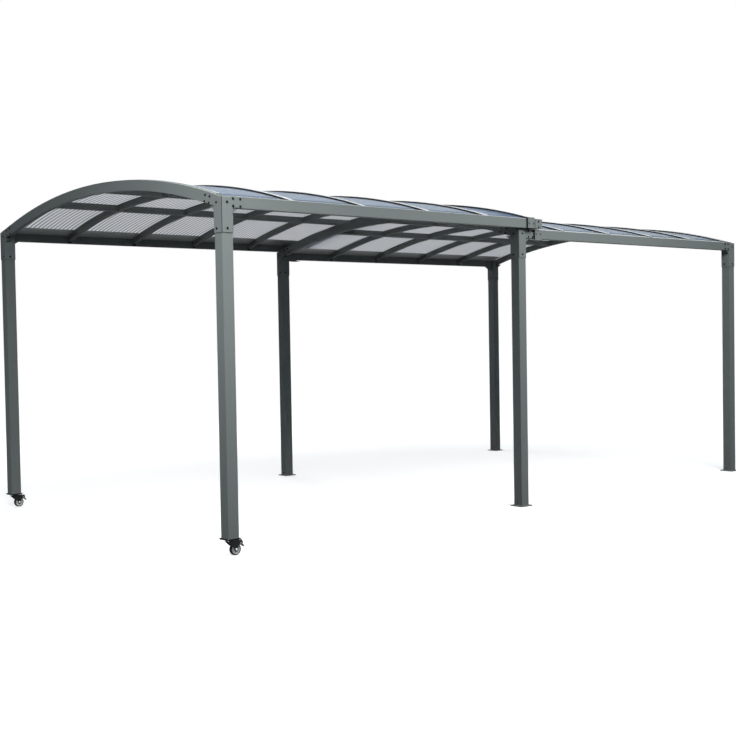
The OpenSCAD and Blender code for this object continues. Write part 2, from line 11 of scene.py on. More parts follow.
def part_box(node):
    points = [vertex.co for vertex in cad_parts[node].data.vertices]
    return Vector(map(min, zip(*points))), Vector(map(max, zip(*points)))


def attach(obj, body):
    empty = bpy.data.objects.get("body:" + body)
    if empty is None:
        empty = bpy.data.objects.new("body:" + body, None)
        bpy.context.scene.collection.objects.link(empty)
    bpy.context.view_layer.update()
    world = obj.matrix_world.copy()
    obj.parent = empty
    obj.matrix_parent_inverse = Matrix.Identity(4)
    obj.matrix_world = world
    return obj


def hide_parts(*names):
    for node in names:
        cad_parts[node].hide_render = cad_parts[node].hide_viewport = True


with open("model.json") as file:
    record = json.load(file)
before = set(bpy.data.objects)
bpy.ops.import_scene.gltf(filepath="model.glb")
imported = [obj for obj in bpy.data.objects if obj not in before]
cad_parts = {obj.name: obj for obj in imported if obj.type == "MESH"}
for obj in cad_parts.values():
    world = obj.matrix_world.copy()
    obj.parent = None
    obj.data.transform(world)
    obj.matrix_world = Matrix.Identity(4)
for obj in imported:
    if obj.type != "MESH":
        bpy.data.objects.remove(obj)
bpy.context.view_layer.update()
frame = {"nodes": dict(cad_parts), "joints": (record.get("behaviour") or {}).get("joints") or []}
NODES = frame["nodes"]

# ---- camera ----

CAMERA_PLACE = Vector((-7.016, -7.463, 1.373))
CAMERA_YAW = math.radians(41.72)
CAMERA_TILT = math.radians(-1.84)
CAMERA_ROLL = math.radians(-0.97)
CAMERA_LENS = 57.77
SENSOR_WIDTH = 36
CAMERA_FAR = 200


def make_camera():
    """A camera at eye level, turned by yaw from +Y towards +X, tilted down a little and rolled."""
    data = bpy.data.cameras.new("camera")
    data.lens = CAMERA_LENS
    data.sensor_width = SENSOR_WIDTH
    data.clip_end = CAMERA_FAR
    camera = bpy.data.objects.new("camera", data)
    bpy.context.scene.collection.objects.link(camera)
    turn = Matrix.Rotation(-CAMERA_YAW, 4, "Z") @ Matrix.Rotation(math.pi / 2 + CAMERA_TILT, 4, "X")
    roll = Matrix.Rotation(CAMERA_ROLL, 4, "Z")
    camera.matrix_world = Matrix.Translation(CAMERA_PLACE) @ turn @ roll
    bpy.context.scene.camera = camera


# ---- materials ----


def new_material(name):
    """A material with an empty node tree and its output node."""
    material = bpy.data.materials.new(name)
    material.use_nodes = True
    tree = material.node_tree
    tree.nodes.clear()
    output = tree.nodes.new("ShaderNodeOutputMaterial")
    return material, tree, output


def math_node(tree, operation, first, second):
    """A Math node on two values, each a socket or a number."""
    node = tree.nodes.new("ShaderNodeMath")
    node.operation = operation
    for socket, value in zip(node.inputs, (first, second)):
        if isinstance(value, (int, float)):
            socket.default_value = value
        else:
            tree.links.new(value, socket)
    return node.outputs[0]


def span_node(tree, value, from_low, from_high, to_low, to_high):
    """A value in one range, carried over smoothly to another range."""
    node = tree.nodes.new("ShaderNodeMapRange")
    node.interpolation_type = "SMOOTHSTEP"
    tree.links.new(value, node.inputs["Value"])
    node.inputs["From Min"].default_value = from_low
    node.inputs["From Max"].default_value = from_high
    node.inputs["To Min"].default_value = to_low
    node.inputs["To Max"].default_value = to_high
    return node.outputs["Result"]


def colour_mix(tree, factor, first, second, blend="MIX"):
    """A colour between two, each a socket or an (r, g, b) triple."""
    node = tree.nodes.new("ShaderNodeMix")
    node.data_type = "RGBA"
    node.blend_type = blend
    if isinstance(factor, (int, float)):
        node.inputs["Factor"].default_value = factor
    else:
        tree.links.new(factor, node.inputs["Factor"])
    colours = [socket for socket in node.inputs if socket.type == "RGBA"]
    for socket, value in zip(colours, (first, second)):
        if isinstance(value, tuple):
            socket.default_value = (*value, 1)
        else:
            tree.links.new(value, socket)
    return [socket for socket in node.outputs if socket.type == "RGBA"][0]


def noise(tree, place, size, detail=2.0):
    """Noise whose features are about size metres across."""
    node = tree.nodes.new("ShaderNodeTexNoise")
    node.inputs["Scale"].default_value = 1 / size
    node.inputs["Detail"].default_value = detail
    tree.links.new(place, node.inputs["Vector"])
    return node.outputs["Fac"]


def coordinate(tree, place, axis):
    """One coordinate of a place, along "X", "Y" or "Z"."""
    node = tree.nodes.new("ShaderNodeSeparateXYZ")
    tree.links.new(place, node.inputs[0])
    return node.outputs[axis]


def tinted(colour, share):
    """A colour made darker or lighter, with no channel past white."""
    return tuple(min(1.0, channel * share) for channel in colour)


# A noise's values lie between these two nearly everywhere.
NOISE_SPAN = (0.3, 0.7)
CLOUD_SIZE = 0.45
CLOUD_DETAIL = 3.0
GRAIN_SIZE = 0.0015
GRAIN_DEPTH = GRAIN_SIZE / 4
ROUGHNESS_SPREAD = 0.05
EDGE_SAMPLES = 4
# Painted shade and painted reflection of the ground: near the floor a coat is mixed towards this
# darker, warmer tone, thinned in patches by the clouds.
PAINTED_GROUND_TONE = (0.13, 0.125, 0.11)
PAINTED_GROUND_TONE_TOP = 0.5
PAINTED_GROUND_TONE_THINNEST = 0.5
PAINT = (0.172, 0.19, 0.187)
BLACK = (0.012, 0.0125, 0.013)
FOOT_PLATE_TOP = 0.1101
FRAME_EDGE = 0.0018
STRIP_EDGE = 0.0008
ZINC_EDGE = 0.0005


def surface(name, colour, roughness, clouds=0.05, grain=0.06, bump=0.12, metallic=0.0, edge=0.0,
            painted_ground_tone=0.0, stretch=(1, 1, 1), gloss=0.5, black_below=0.0):
    """A solid finish: broad tone changes, fine grain in colour, gloss and relief, and soft edges.

    painted_ground_tone is the share, at the floor, of a darker and warmer tone that fades out upward:
    painted shade and painted reflection of the ground. edge is the radius that edges seem rounded by,
    stretch makes the grain finer along an axis, as brushing does, and black_below is a height
    under which the coat is black, as on a foot plate.
    """
    material, tree, output = new_material(name)
    shader = tree.nodes.new("ShaderNodeBsdfPrincipled")
    place = tree.nodes.new("ShaderNodeTexCoord").outputs["Object"]
    scaled = tree.nodes.new("ShaderNodeMapping")
    scaled.inputs["Scale"].default_value = stretch
    tree.links.new(place, scaled.inputs["Vector"])
    cloud = noise(tree, place, CLOUD_SIZE, CLOUD_DETAIL)
    speck = noise(tree, scaled.outputs[0], GRAIN_SIZE)
    base = colour_mix(tree, cloud, tinted(colour, 1 - clouds), tinted(colour, 1 + clouds))
    light = tinted((1, 1, 1), 1 - grain)
    base = colour_mix(tree, 1.0, base, colour_mix(tree, speck, light, (1, 1, 1)), "MULTIPLY")
    # Painted shade and painted ground reflection: darker and warmer towards the floor.
    if painted_ground_tone:
        low = span_node(tree, coordinate(tree, place, "Z"), 0, PAINTED_GROUND_TONE_TOP, painted_ground_tone, 0)
        thinned = span_node(tree, cloud, *NOISE_SPAN, PAINTED_GROUND_TONE_THINNEST, 1)
        base = colour_mix(tree, math_node(tree, "MULTIPLY", low, thinned), base, PAINTED_GROUND_TONE)
    if black_below:
        foot = math_node(tree, "LESS_THAN", coordinate(tree, place, "Z"), black_below)
        base = colour_mix(tree, foot, base, BLACK)
    tree.links.new(base, shader.inputs["Base Color"])
    shader.inputs["Metallic"].default_value = metallic
    shader.inputs["Specular IOR Level"].default_value = gloss
    smooth, rough = roughness - ROUGHNESS_SPREAD, roughness + ROUGHNESS_SPREAD
    tree.links.new(span_node(tree, speck, *NOISE_SPAN, smooth, rough), shader.inputs["Roughness"])
    relief = tree.nodes.new("ShaderNodeBump")
    relief.inputs["Strength"].default_value = bump
    relief.inputs["Distance"].default_value = GRAIN_DEPTH
    tree.links.new(speck, relief.inputs["Height"])
    if edge:
        rounded = tree.nodes.new("ShaderNodeBevel")
        rounded.samples = EDGE_SAMPLES
        rounded.inputs["Radius"].default_value = edge
        tree.links.new(rounded.outputs[0], relief.inputs["Normal"])
    tree.links.new(relief.outputs[0], shader.inputs["Normal"])
    tree.links.new(shader.outputs[0], output.inputs["Surface"])
    return material


FLUTE_PITCH = 0.036
FLUTE_DARK = (0.43, 0.435, 0.445)
FLUTE_CLEAR = (0.96, 0.97, 0.97)
# From a web's middle: the share of the pitch where the sheet starts to clear, and where it is clear.
WEB_SHARES = (0.12, 0.38)
WEB_SHADE = 0.86
WANDER = 0.001
WANDER_SIZE = 0.3
HAZE_SIZE = 0.5
HAZE_SHADE = 0.95
# The sheets' faces are bluish: a painted reflection of the sky.
SHEET_PAINTED_SKY = (0.17, 0.26, 0.42)
SHEET_THROUGH = 0.74
SHEET_ROUGHNESS = 0.42
SHEET_BUMP = 0.3
SHEET_BUMP_DEPTH = 0.0006


def twin_wall(name, reflected, through):
    """Twin-wall polycarbonate: light scatters through it, weaker where its webs stand. The colour of
    its faces is bluish, a painted reflection of the sky.
    """
    material, tree, output = new_material(name)
    place = tree.nodes.new("ShaderNodeTexCoord").outputs["Object"]
    wander = span_node(tree, noise(tree, place, WANDER_SIZE), *NOISE_SPAN, -WANDER, WANDER)
    across = math_node(tree, "ADD", coordinate(tree, place, "X"), wander)
    to_web = math_node(tree, "PINGPONG", across, FLUTE_PITCH / 2)
    clear_from, clear_at = (FLUTE_PITCH * share for share in WEB_SHARES)
    clear = span_node(tree, to_web, clear_from, clear_at, 0, 1)
    haze = noise(tree, place, HAZE_SIZE, CLOUD_DETAIL)
    seen = colour_mix(tree, clear, tinted(reflected, WEB_SHADE), reflected)
    seen = colour_mix(tree, haze, tinted(reflected, HAZE_SHADE), seen)
    passed = colour_mix(tree, clear, FLUTE_DARK, FLUTE_CLEAR)
    face = tree.nodes.new("ShaderNodeBsdfPrincipled")
    face.inputs["Roughness"].default_value = SHEET_ROUGHNESS
    face.inputs["Specular IOR Level"].default_value = 0
    tree.links.new(seen, face.inputs["Base Color"])
    glow = tree.nodes.new("ShaderNodeBsdfTranslucent")
    tree.links.new(passed, glow.inputs["Color"])
    relief = tree.nodes.new("ShaderNodeBump")
    relief.inputs["Strength"].default_value = SHEET_BUMP
    relief.inputs["Distance"].default_value = SHEET_BUMP_DEPTH
    tree.links.new(clear, relief.inputs["Height"])
    tree.links.new(relief.outputs[0], face.inputs["Normal"])
    mix = tree.nodes.new("ShaderNodeMixShader")
    mix.inputs["Fac"].default_value = through
    tree.links.new(face.outputs[0], mix.inputs[1])
    tree.links.new(glow.outputs[0], mix.inputs[2])
    tree.links.new(mix.outputs[0], output.inputs["Surface"])
    return material


def make_materials():
    """The finishes, by the name that the pieces ask for."""
    coat = {"roughness": 0.55, "edge": FRAME_EDGE, "painted_ground_tone": 0.25, "gloss": 0.03}
    return {
        "paint": surface("grey_green_powder_coat", PAINT, **coat),
        "footed": surface("powder_coat_over_black_foot", PAINT, black_below=FOOT_PLATE_TOP, **coat),
        # The ridge's crown is darker than the frame: painted shade, standing for a groove between the
        # beads.
        "ridge": surface("ridge_painted_shade", tinted(PAINT, 0.7), 0.6, edge=STRIP_EDGE, gloss=0.0),
        # The lip coat is paler than the frame: a painted highlight along the eave strips, the ridge
        # beads and the caps beside the ridges.
        "lip": surface("lip_painted_highlight", (0.42, 0.45, 0.44), 0.45, edge=STRIP_EDGE, gloss=0.2),
        # The caps' pale colour is a painted highlight: the bright sky on their tops.
        "cap": surface("cap_coat_painted_highlight", (0.72, 0.76, 0.75), 0.3, edge=STRIP_EDGE),
        "sheet": twin_wall("twin_wall_sheet", SHEET_PAINTED_SKY, SHEET_THROUGH),
        "black": surface("black_coated_steel", BLACK, 0.42, grain=0.2, gloss=0.15),
        "zinc": surface("zinc_plate", (0.42, 0.43, 0.43), 0.34, clouds=0.12, metallic=1.0,
                        edge=ZINC_EDGE, stretch=(1, 6, 1)),
        "rubber": surface("tyre_rubber", (0.015, 0.015, 0.016), 0.72, grain=0.3, bump=0.35, painted_ground_tone=0.05,
                          gloss=0.1),
        "disc": surface("grey_wheel_plastic", (0.7, 0.71, 0.7), 0.42, painted_ground_tone=0.05),
        "white": surface("pale_cap_plastic", (0.9, 0.9, 0.89), 0.4),
        "nylon": surface("black_nylon", (0.02, 0.02, 0.021), 0.5, grain=0.25),
        # The gasket is black rubber and painted shade at once: it fills most of a bar's height, so the
        # bar's shaded side shows black.
        "gasket": surface("gasket_rubber", (0.018, 0.018, 0.019), 0.66, grain=0.3),
    }


# ---- shapes ----

SHARP_ANGLE = math.radians(32)
BEVEL_ANGLE = math.radians(40)
PLATE_BEVEL = 0.0005
FORK_BEVEL = 0.0006


class Shape:
    """The points and faces of one piece, gathered before its mesh is made.

    A face's kind is the number of its material in the list that the piece is made with.
    """

    def __init__(self):
        self.points = []
        self.faces = []
        self.kinds = []

    def add_face(self, corners, kind=0):
        """One face, from the numbers of its points."""
        self.faces.append(tuple(corners))
        self.kinds.append(kind)

    def loft(self, rings, place=Matrix(), kind=0, closed=False):
        """Rings of points joined by quads: capped at both ends, or closed into a hoop."""
        first = len(self.points)
        count = len(rings[0])
        total = len(rings) * count
        for ring in rings:
            self.points.extend(place @ Vector(point) for point in ring)
        for i in range(len(rings) if closed else len(rings) - 1):
            for j in range(count):
                here = i * count + j
                beside = i * count + (j + 1) % count
                corners = (here, beside, beside + count, here + count)
                self.add_face([first + corner % total for corner in corners], kind)
        if not closed:
            self.add_face(range(first, first + count), kind)
            self.add_face(range(first + total - count, first + total), kind)

    def turned(self, outline, place=Matrix(), kind=0, sides=20, hoop=False):
        """A solid turned about local Z from (radius, height) pairs; a hoop's outline is a loop."""
        turns = [2 * math.pi * k / sides for k in range(sides)]
        if hoop:
            rings = [[(r * math.cos(a), r * math.sin(a), h) for r, h in outline] for a in turns]
        else:
            rings = [[(r * math.cos(a), r * math.sin(a), h) for a in turns] for r, h in outline]
        self.loft(rings, place, kind, closed=hoop)

    def plate(self, outline, low, high, place=Matrix(), kind=0):
        """A flat outline in local X and Y, carried from one local height to another."""
        self.loft([[(x, y, z) for x, y in outline] for z in (low, high)], place, kind)

    def block(self, low, high, kind=0):
        """A box between two corners."""
        outline = [(low[0], low[1]), (high[0], low[1]), (high[0], high[1]), (low[0], high[1])]
        self.plate(outline, low[2], high[2], kind=kind)


def facing(place, outward):
    """A place whose local Z axis points outward."""
    return Matrix.Translation(place) @ Vector(outward).to_track_quat("Z", "Y").to_matrix().to_4x4()


def arc_points(middle, radius, start, end, steps):
    """Points on an arc in a plane, from one angle to another, in degrees."""
    turns = [math.radians(start + (end - start) * k / steps) for k in range(steps + 1)]
    return [(middle[0] + radius * math.cos(a), middle[1] + radius * math.sin(a)) for a in turns]


def piece(name, shape, materials, body, replaces=(), bevel=0.0):
    """Makes a shape into a piece that rides on a body, with its edges bevelled if asked."""
    mesh = bpy.data.meshes.new(name)
    mesh.from_pydata(shape.points, [], shape.faces)
    mesh.polygons.foreach_set("material_index", shape.kinds)
    for material in materials:
        mesh.materials.append(material)
    builder = bmesh.new()
    builder.from_mesh(mesh)
    bmesh.ops.recalc_face_normals(builder, faces=builder.faces)
    for face in builder.faces:
        face.smooth = True
    builder.to_mesh(mesh)
    builder.free()
    mesh.set_sharp_from_angle(angle=SHARP_ANGLE)
    made = bpy.data.objects.new(name, mesh)
    bpy.context.scene.collection.objects.link(made)
    if bevel:
        soft = made.modifiers.new("soft_edges", "BEVEL")
        soft.width = bevel
        soft.segments = 2
        soft.limit_method = "ANGLE"
        soft.angle_limit = BEVEL_ANGLE
    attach(made, body)
    if replaces:
        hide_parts(*replaces)
    return made


# ---- places read from the frame ----

SHEET_THICKNESS = 0.0054
# Places closer than this count as the same.
TOUCH = 0.001


def spans(node, axis=0):
    """The separate stretches along an axis that a node's solids cover, as [low, high] pairs."""
    mesh = NODES[node].data
    found = []
    for face in mesh.polygons:
        values = [mesh.vertices[i].co[axis] for i in face.vertices]
        found.append((min(values), max(values)))
    merged = []
    for low, high in sorted(found):
        if merged and low < merged[-1][1] + TOUCH:
            merged[-1][1] = max(merged[-1][1], high)
        else:
            merged.append([low, high])
    return merged


class Canopy:
    """Where one canopy's roof lies: the arc of its sheets, and its beams, arches and posts."""

    def __init__(self, name):
        self.name = name
        self.body = name + "_canopy"
        self.sheets = name + "_roof_panels"
        low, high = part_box(self.sheets)
        sagitta = high.z - SHEET_THICKNESS - low.z
        inner = (high.y ** 2 + sagitta ** 2) / (2 * sagitta)
        self.half_width = high.y
        self.sheet_top = inner + SHEET_THICKNESS
        self.axis = high.z - self.sheet_top
        self.beam_low, self.beam_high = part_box(name + "_front_beam")
        self.outer_y = -self.beam_low.y
        left_low, left_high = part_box(name + "_left_arch")
        self.left_x, self.right_x = left_low.x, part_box(name + "_right_arch")[1].x
        self.arch_top = left_high.z - self.axis
        self.rafters = [(low + high) / 2 for low, high in spans(name + "_rafters")]

    def on_arc(self, x, angle, rise=0.0):
        """A point over the roof's arc, at an angle from the crown and a rise above the sheets."""
        radius = self.sheet_top + rise
        return Vector((x, radius * math.sin(angle), self.axis + radius * math.cos(angle)))

    def over(self, x, y, rise=0.0):
        """A point over the roof's arc, at a distance from the middle."""
        radius = self.sheet_top + rise
        return Vector((x, y, self.axis + math.sqrt(radius ** 2 - y ** 2)))


# ---- roof sheets ----

ARC_STEPS = 32
# Each web shows as a shallow groove in both faces of a sheet.
FLUTE_HALF_WIDTH = 0.0018
FLUTE_DEPTH = 0.0005
FLUTE_MARGIN = 0.004


def sheet_corners(canopy, x_from, x_to):
    """How far a sheet runs at its outer edges, and where its corners are cut round the sleeves."""
    points = [v.co for v in NODES[canopy.sheets].data.vertices]
    points = [p for p in points if x_from - TOUCH < p.x < x_to + TOUCH]
    outer = [p.x for p in points if abs(p.y) > canopy.half_width - TOUCH]
    left_y = max(abs(p.y) for p in points if p.x < x_from + TOUCH)
    right_y = max(abs(p.y) for p in points if p.x > x_to - TOUCH)
    return min(outer), max(outer), left_y, right_y


def curved_slab(shape, canopy, xs, dips, ys, keep):
    """A sheet over stations in x and y, dipped at some x stations, where keep(x, y) says so."""
    first = len(shape.points)
    count = len(ys)
    for x, dip in zip(xs, dips):
        for y in ys:
            shape.points.append(canopy.over(x, y, -dip))
            shape.points.append(canopy.over(x, y, dip - SHEET_THICKNESS))

    def kept(i, j):
        """Whether the sheet has the cell between stations i, i + 1 in x and j, j + 1 in y."""
        if not (0 <= i < len(xs) - 1 and 0 <= j < count - 1):
            return False
        return keep((xs[i] + xs[i + 1]) / 2, (ys[j] + ys[j + 1]) / 2)

    for i in range(len(xs) - 1):
        for j in range(count - 1):
            if not kept(i, j):
                continue
            here = first + 2 * (i * count + j)
            along = here + 2 * count
            shape.add_face((here, along, along + 2, here + 2))
            shape.add_face((here + 1, here + 3, along + 3, along + 1))
            for near, a, b in ((kept(i - 1, j), here, here + 2), (kept(i + 1, j), along + 2, along),
                               (kept(i, j - 1), along, here), (kept(i, j + 1), here + 2, along + 2)):
                if not near:
                    shape.add_face((a, b, b + 1, a + 1))


def make_sheets(canopy, materials):
    """One fluted sheet for each bay."""
    for number, (x_from, x_to) in enumerate(spans(canopy.sheets), 1):
        edge_from, edge_to, left_y, right_y = sheet_corners(canopy, x_from, x_to)
        lines = sorted({x_from, edge_from, edge_to, x_to})
        stations = {x: 0.0 for x in lines}
        for k in range(math.ceil(x_from / FLUTE_PITCH), math.floor(x_to / FLUTE_PITCH) + 1):
            x = k * FLUTE_PITCH
            if min(abs(x - line) for line in lines) > FLUTE_MARGIN:
                stations[x - FLUTE_HALF_WIDTH] = 0.0
                stations[x] = FLUTE_DEPTH
                stations[x + FLUTE_HALF_WIDTH] = 0.0
        xs = sorted(stations)
        across = [canopy.half_width * (2 * k / ARC_STEPS - 1) for k in range(ARC_STEPS + 1)]
        ys = sorted({round(y, 5) for y in across + [left_y, -left_y, right_y, -right_y]})

        def keep(x, y):
            """Whether the sheet has a place, which the corners cut round the sleeves don't."""
            beside_left = x < edge_from and abs(y) > left_y
            beside_right = x > edge_to and abs(y) > right_y
            return not (beside_left or beside_right)

        shape = Shape()
        curved_slab(shape, canopy, xs, [stations[x] for x in xs], ys, keep)
        piece(f"{canopy.name}_sheet_{number}", shape, [materials["sheet"]], canopy.body,
              [canopy.sheets])


# ---- glazing bars ----

# Heights here are rises above the sheets' top.
GASKET_FOOT = 0.0001
GASKET_HEIGHT = 0.0122
CAP_TOP = 0.014
CAP_INSET = 0.001
# A cap's round shoulder, as pairs of how far in from its side and how far down from its top.
CAP_SHOULDER = ((0.0004, 0.001), (0.0022, 0.0002))
GROOVE_HALF_WIDTH = 0.0035
GROOVE_SLOPE = 0.001
GROOVE_DEPTH = 0.0008
RIDGE_FOOT = 0.008
RIDGE_TOP = 0.0106
BEAD_WIDTH = 0.004
BEAD_RISE = 0.0006
CAP_SCREW_PITCH = 0.3
CAP_SCREW_REACH = 0.97
CAP_SCREW_SEAT = 0.0125
CAP_SCREW_OUTLINE = [(0.0042, 0), (0.0042, 0.0008), (0.0034, 0.0013), (0.0018, 0.0013),
                     (0.0016, 0.0006)]
BAR_FINISHES = ("cap", "gasket", "black", "ridge", "lip")
CAP_KIND, GASKET_KIND, SCREW_KIND, RIDGE_KIND, LIP_KIND = range(len(BAR_FINISHES))


def cap_outline(width):
    """The cross-section of a bar's cap: upright sides, round shoulders and a shallow groove."""
    side = width / 2 - CAP_INSET
    right = [(side, GASKET_HEIGHT)]
    right += [(side - inset, CAP_TOP - drop) for inset, drop in CAP_SHOULDER]
    right += [(GROOVE_HALF_WIDTH + GROOVE_SLOPE, CAP_TOP), (GROOVE_HALF_WIDTH, CAP_TOP - GROOVE_DEPTH)]
    return right + [(-x, rise) for x, rise in reversed(right)]


def sweep(shape, canopy, x, outline, half_angle, kind):
    """Carries a cross-section, given as (x, rise) pairs, along the roof's arc."""
    rings = []
    for k in range(ARC_STEPS + 1):
        angle = half_angle * (2 * k / ARC_STEPS - 1)
        rings.append([canopy.on_arc(x + dx, angle, rise) for dx, rise in outline])
    shape.loft(rings, kind=kind)


def cap_screws(shape, canopy, x, half_angle):
    """Screws sunk in a cap's groove."""
    count = int(2 * half_angle * canopy.sheet_top / CAP_SCREW_PITCH)
    for k in range(count):
        angle = half_angle * ((2 * k + 1) / count - 1)
        outward = Vector((0, math.sin(angle), math.cos(angle)))
        place = facing(canopy.on_arc(x, angle, CAP_SCREW_SEAT), outward)
        shape.turned(CAP_SCREW_OUTLINE, place, SCREW_KIND, sides=10)


def add_ridge(shape, canopy, low, high, half_angle):
    """A dark flat crown between two pale beads, on top of an arch: the crown's dark is painted shade of
    a groove, the beads' pale is painted highlight.
    """
    middle = (low + high) / 2
    outer = (high - low) / 2
    inner = outer - BEAD_WIDTH
    crown = [(-inner, RIDGE_FOOT), (inner, RIDGE_FOOT), (inner, RIDGE_TOP), (-inner, RIDGE_TOP)]
    sweep(shape, canopy, middle, crown, half_angle, RIDGE_KIND)
    for side in (-1, 1):
        bead = [(side * inner, RIDGE_FOOT), (side * outer, RIDGE_FOOT),
                (side * outer, RIDGE_TOP), (side * inner, RIDGE_TOP + BEAD_RISE)]
        sweep(shape, canopy, middle, bead, half_angle, LIP_KIND)


def make_glazing_bars(canopy, materials):
    """A cap on a black gasket over each joint, and a ridge on top of each moving arch. The caps' and
    the ridge beads' pale colour is painted highlight, the ridge's dark crown painted shade, and the
    gaskets' black partly painted shade.
    """
    node = canopy.name + "_glazing_caps"
    left_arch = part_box(canopy.name + "_left_arch")
    right_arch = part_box(canopy.name + "_right_arch")
    points = [v.co for v in NODES[node].data.vertices]
    for number, (x_from, x_to) in enumerate(spans(node), 1):
        low, high = max(x_from, left_arch[1].x), min(x_to, right_arch[0].x)
        beside = [abs(p.y) for p in points if low - TOUCH < p.x < high + TOUCH]
        half_angle = math.asin(max(beside) / (canopy.sheet_top + CAP_TOP))
        middle, width = (low + high) / 2, high - low
        ridge_low, ridge_high = (x_from, low) if x_from < low else (high, x_to)
        has_ridge = ridge_high - ridge_low > TOUCH
        shape = Shape()
        cap_kind = LIP_KIND if has_ridge else CAP_KIND
        sweep(shape, canopy, middle, cap_outline(width), half_angle, cap_kind)
        # The gasket's black sides are partly painted shade on the bar's sides.
        gasket = [(-width / 2, GASKET_FOOT), (width / 2, GASKET_FOOT), (width / 2, GASKET_HEIGHT),
                  (-width / 2, GASKET_HEIGHT)]
        sweep(shape, canopy, middle, gasket, half_angle, GASKET_KIND)
        cap_screws(shape, canopy, middle, half_angle * CAP_SCREW_REACH)
        if has_ridge:
            add_ridge(shape, canopy, ridge_low, ridge_high, half_angle)
        piece(f"{canopy.name}_glazing_bar_{number}", shape,
              [materials[name] for name in BAR_FINISHES], canopy.body, [node])


# ---- fasteners ----

# A washer, a round head and its socket, as pairs of a radius and a height.
SCREW_OUTLINE = [(0.0082, 0), (0.0082, 0.0009), (0.0066, 0.0012), (0.0066, 0.003), (0.0061, 0.0044),
                 (0.0047, 0.0052), (0.0029, 0.0052), (0.0027, 0.0028)]
SMALL_SCREW = 0.6


def screw(shape, place, outward, size=1.0, sides=16):
    """A round socket screw on a washer, standing out from a surface."""
    outline = [(radius * size, height * size) for radius, height in SCREW_OUTLINE]
    shape.turned(outline, facing(place, outward), sides=sides)


# Sizes of the CAD's posts and bracket plates.
POST_WIDTH = 0.08
POST_RADIUS = 0.003
BRACKET_PLATE = 0.004
# Places of screws and bolts: how far in from the frame's outer corner, heights over a bracket's or a
# beam's foot, and depths below an arch's top.
SLEEVE_SCREW_RISE = 0.026
BEAM_FACE_SCREW = 0.038
END_FACE_SCREW = 0.05
BOLT_HEIGHTS = (0.012, 0.056)
BEAM_BOLTS = {"moving": (0.082, 0.136), "fixed": (0.109, 0.155)}
ARCH_BOLTS = (0.113, 0.162)
END_ARCH_BOLTS = (0.072, 0.105)
ARCH_BOLT_DEPTHS = (0.021, 0.062)
END_BEAM_SCREW = 0.025
FOOT_SCREW_REACH = 0.045
FOOT_SCREW_HEIGHT = 0.027
# Size of the black strip in each sleeve's seam, which is painted shade in the slit.
SEAM_WIDTH = 0.004
SEAM_DEPTH = 0.0025
FLUSH = 0.0004
SIDES = {"front": -1, "rear": 1}


def arch_bolts(shape, canopy, x_face, outward, side, reaches):
    """Bolts through the flanges of an arch, in columns across its depth."""
    for reach in reaches:
        angle = math.asin((canopy.outer_y - reach) / canopy.arch_top)
        for depth in ARCH_BOLT_DEPTHS:
            radius = canopy.arch_top - depth
            z = canopy.axis + radius * math.cos(angle)
            screw(shape, (x_face, side * radius * math.sin(angle), z), (outward, 0, 0))


def corner_slit_shade(shape, canopy, x_outer, inward, side, bracket):
    """A black strip in the slit where a sleeve's plates meet, down its outer corner: painted shade for
    the slit's depth.
    """
    middle = Vector((x_outer + inward * POST_RADIUS, side * (canopy.outer_y - POST_RADIUS)))
    outward = Vector((-inward, side)).normalized()
    across = Vector((-outward.y, outward.x)) * SEAM_WIDTH / 2
    near, far = POST_RADIUS + BRACKET_PLATE - SEAM_DEPTH, POST_RADIUS + BRACKET_PLATE - FLUSH
    outline = [middle + outward * near - across, middle + outward * far - across,
               middle + outward * far + across, middle + outward * near + across]
    shape.plate([tuple(point) for point in outline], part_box(bracket)[0].z, canopy.beam_high.z)


def corner_screws(shape, canopy, x_outer, inward, side, bracket):
    """The screws of a corner bracket. inward is the direction along X into the canopy."""
    y_outer = side * canopy.outer_y
    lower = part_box(bracket)[0].z + SLEEVE_SCREW_RISE
    middle = (canopy.beam_low.z + canopy.beam_high.z) / 2
    x_face = x_outer - inward * BRACKET_PLATE
    y_face = y_outer + side * BRACKET_PLATE
    x_screw = x_outer + inward * BEAM_FACE_SCREW
    y_screw = y_outer - side * END_FACE_SCREW
    for z in (lower, middle):
        screw(shape, (x_screw, y_face, z), (0, side, 0))
        screw(shape, (x_face, y_screw, z), (-inward, 0, 0))
    reach = POST_WIDTH + BRACKET_PLATE
    screw(shape, (x_outer + inward * reach, y_screw, lower), (inward, 0, 0))
    screw(shape, (x_screw, y_outer - side * reach, lower), (0, -side, 0))
    for distance in BEAM_BOLTS[canopy.name]:
        for rise in BOLT_HEIGHTS:
            screw(shape, (x_outer + inward * distance, y_face, canopy.beam_low.z + rise), (0, side, 0))
    arch_bolts(shape, canopy, x_face, -inward, side, ARCH_BOLTS)


def end_screws(shape, canopy, side):
    """The screws of the two-way bracket at the moving canopy's free end."""
    y_face = side * (canopy.outer_y + BRACKET_PLATE)
    x_face = canopy.right_x + BRACKET_PLATE
    for rise in BOLT_HEIGHTS:
        z = canopy.beam_low.z + rise
        screw(shape, (canopy.right_x - BEAM_FACE_SCREW, y_face, z), (0, side, 0))
        screw(shape, (x_face, side * (canopy.outer_y - END_BEAM_SCREW), z), (1, 0, 0))
    arch_bolts(shape, canopy, x_face, 1, side, END_ARCH_BOLTS)


